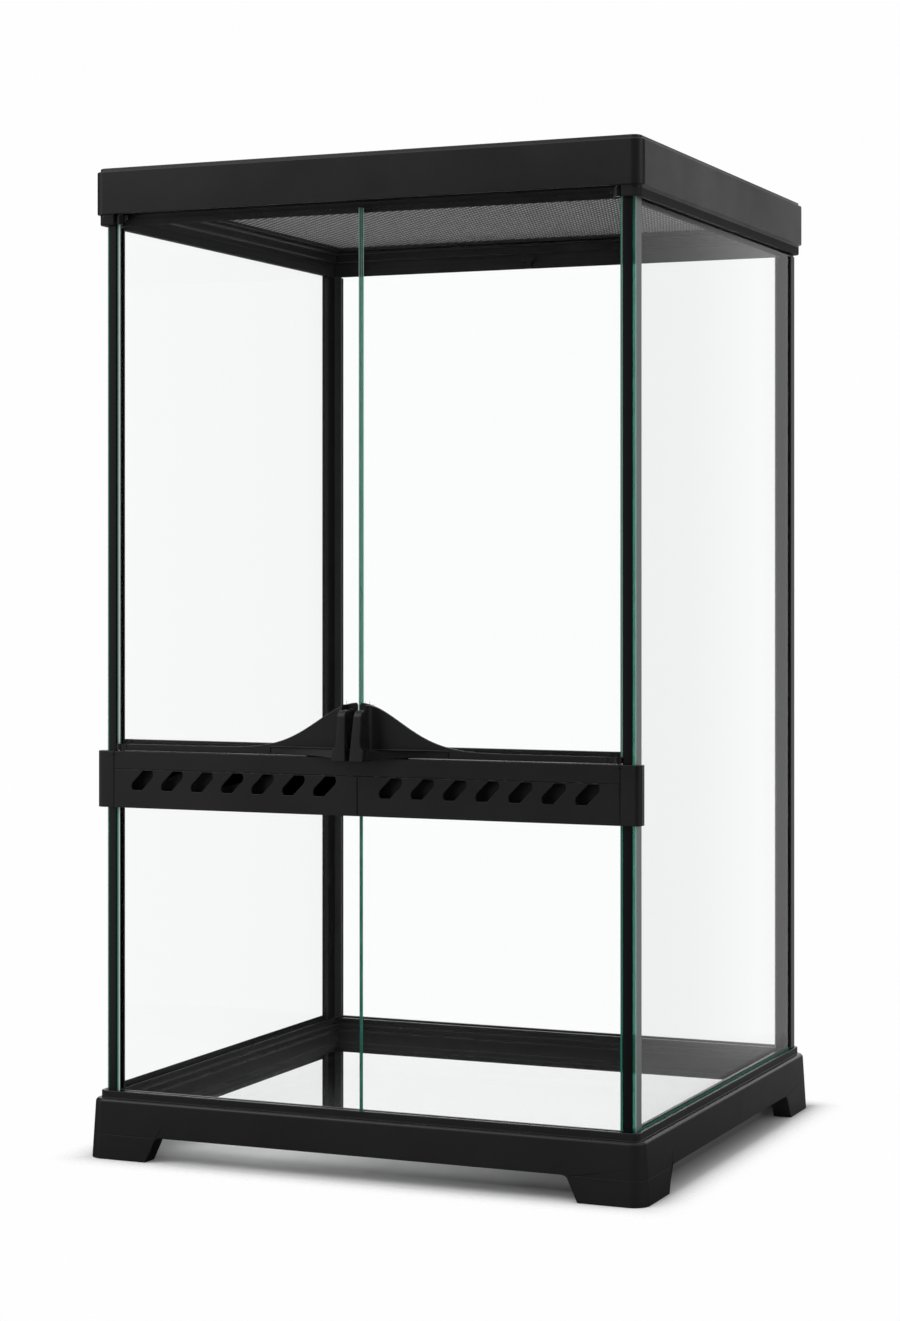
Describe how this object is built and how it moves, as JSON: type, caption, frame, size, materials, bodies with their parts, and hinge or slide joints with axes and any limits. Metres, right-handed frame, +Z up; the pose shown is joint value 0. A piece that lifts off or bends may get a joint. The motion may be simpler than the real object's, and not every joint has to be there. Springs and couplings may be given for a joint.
{
  "type": "reptile terrarium",
  "caption": "Upright glass terrarium on a flared black base, with swinging front doors over a slotted vent band and a lift-out mesh screen in its top frame.",
  "frame": {"origin": "on the floor, under the middle of the whole part's width and depth", "axes": "+Z up; +X to the right as seen from the front; the doors face -Y"},
  "size_m": [0.3578, 0.3422, 0.6],
  "materials": {
    "black_plastic": "fine satin moulded plastic",
    "clear_glass": "clear float glass with polished green edges",
    "pin_steel": "bright drawn wire",
    "mesh_wire": "dark coated woven wire"
  },
  "bodies": {
    "cabinet": {"base_frame": "black_plastic", "floor_pane": "clear_glass", "left_side_pane": "clear_glass", "right_side_pane": "clear_glass", "back_pane": "clear_glass", "left_lower_pane": "clear_glass", "right_lower_pane": "clear_glass", "left_front_post": "black_plastic", "right_front_post": "black_plastic", "left_rear_post": "black_plastic", "right_rear_post": "black_plastic", "left_rear_strip": "black_plastic", "right_rear_strip": "black_plastic", "top_frame": "black_plastic", "vent_carrier": "black_plastic", "left_vent_panel": "black_plastic", "right_vent_panel": "black_plastic", "left_end_cap": "black_plastic", "right_end_cap": "black_plastic", "left_lower_hinge_pin": "pin_steel", "right_lower_hinge_pin": "pin_steel", "left_upper_hinge_pin": "pin_steel", "right_upper_hinge_pin": "pin_steel", "rear_clip": "black_plastic"},
    "left_door": {"left_door_pane": "clear_glass", "left_door_rail": "black_plastic", "left_lower_shoe": "black_plastic", "left_upper_shoe": "black_plastic"},
    "right_door": {"right_door_pane": "clear_glass", "right_door_rail": "black_plastic", "right_lower_shoe": "black_plastic", "right_upper_shoe": "black_plastic"},
    "screen": {"screen_frame": "black_plastic", "screen_mesh": "mesh_wire"}
  },
  "joints": [
    {"name": "left_door_hinge", "type": "hinge", "parent": "cabinet", "child": "left_door", "pos_m": [-0.16, -0.1531, 0.41], "axis": [0, 0, -1], "range_deg": [0, 110]},
    {"name": "right_door_hinge", "type": "hinge", "parent": "cabinet", "child": "right_door", "pos_m": [0.16, -0.1531, 0.41], "axis": [0, 0, 1], "range_deg": [0, 110]},
    {"name": "screen_lift", "type": "slide", "parent": "cabinet", "child": "screen", "axis": [0, 0, 1], "range_m": [0, 0.06]}
  ]
}
